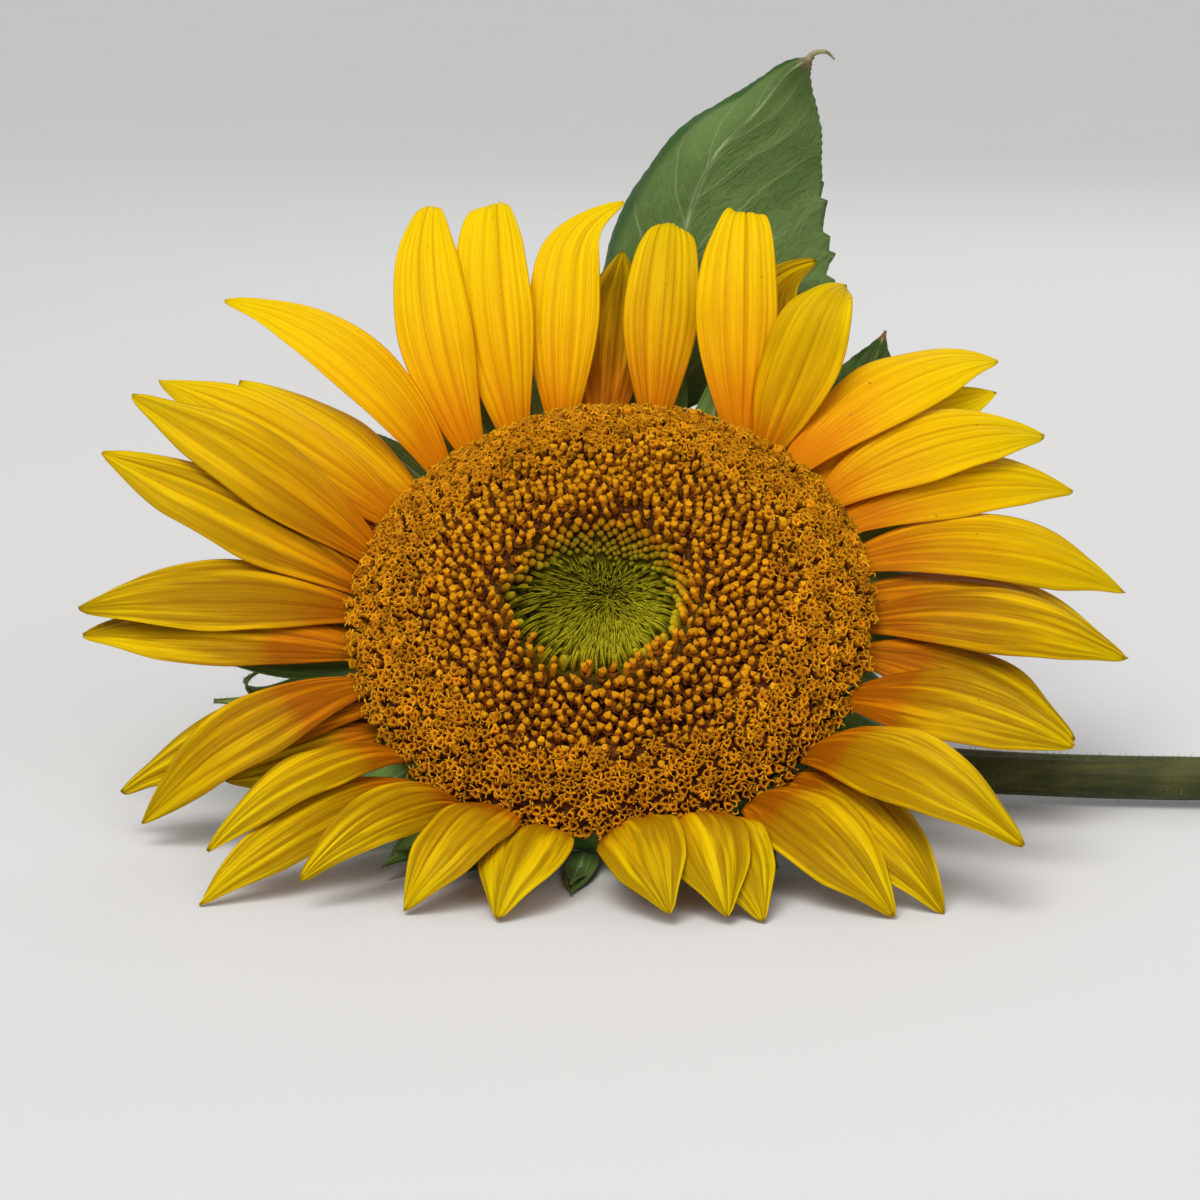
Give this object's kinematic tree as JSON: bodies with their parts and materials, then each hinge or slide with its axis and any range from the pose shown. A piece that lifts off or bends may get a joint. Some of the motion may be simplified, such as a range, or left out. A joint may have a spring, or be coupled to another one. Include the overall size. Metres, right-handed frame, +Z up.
{
  "type": "mammoth sunflower",
  "caption": "Cut mammoth sunflower lying on its lower petals and stem: a wide orange-brown disc with a green centre, long yellow ray petals, green leaves and a thick stem.",
  "frame": {"origin": "on the surface the flower lies on, below the middle of the whole flower's bounding box", "axes": "+X along the lying stem, from the head to the cut end; -Y towards the side that the flower's face looks to; +Z up"},
  "size_m": [0.4506, 0.2416, 0.2268],
  "materials": {
    "ray_petal": "soft satin, ribbed lengthwise",
    "bract": "matte, hairy",
    "stem": "matte, bristly",
    "leaf": "satin, veined",
    "open_floret": "matte",
    "floret_bud": "matte",
    "young_floret": "matte"
  },
  "bodies": {
    "root": {"ray_petal_01": "ray_petal", "ray_petal_02": "ray_petal", "ray_petal_03": "ray_petal", "ray_petal_04": "ray_petal", "ray_petal_05": "ray_petal", "ray_petal_06": "ray_petal", "ray_petal_07": "ray_petal", "ray_petal_08": "ray_petal", "ray_petal_09": "ray_petal", "ray_petal_10": "ray_petal", "ray_petal_11": "ray_petal", "ray_petal_12": "ray_petal", "ray_petal_13": "ray_petal", "ray_petal_14": "ray_petal", "ray_petal_15": "ray_petal", "ray_petal_16": "ray_petal", "ray_petal_17": "ray_petal", "ray_petal_18": "ray_petal", "ray_petal_19": "ray_petal", "ray_petal_20": "ray_petal", "ray_petal_21": "ray_petal", "ray_petal_22": "ray_petal", "ray_petal_23": "ray_petal", "ray_petal_24": "ray_petal", "ray_petal_25": "ray_petal", "ray_petal_26": "ray_petal", "ray_petal_27": "ray_petal", "ray_petal_28": "ray_petal", "ray_petal_29": "ray_petal", "ray_petal_30": "ray_petal", "ray_petal_31": "ray_petal", "ray_petal_32": "ray_petal", "ray_petal_33": "ray_petal", "ray_petal_34": "ray_petal", "ray_petal_35": "ray_petal", "ray_petal_36": "ray_petal", "ray_petal_37": "ray_petal", "ray_petal_38": "ray_petal", "ray_petal_39": "ray_petal", "bract_01": "bract", "bract_02": "bract", "bract_03": "bract", "bract_04": "bract", "bract_05": "bract", "bract_06": "bract", "bract_07": "bract", "bract_08": "bract", "bract_09": "bract", "bract_10": "bract", "bract_11": "bract", "bract_12": "bract", "bract_13": "bract", "receptacle": "bract", "stem": "stem", "leaf_upper": "leaf", "leaf_lower": "leaf", "disc_florets_open": "open_floret", "disc_florets_buds": "floret_bud", "disc_florets_centre": "young_floret"}
  },
  "joints": []
}
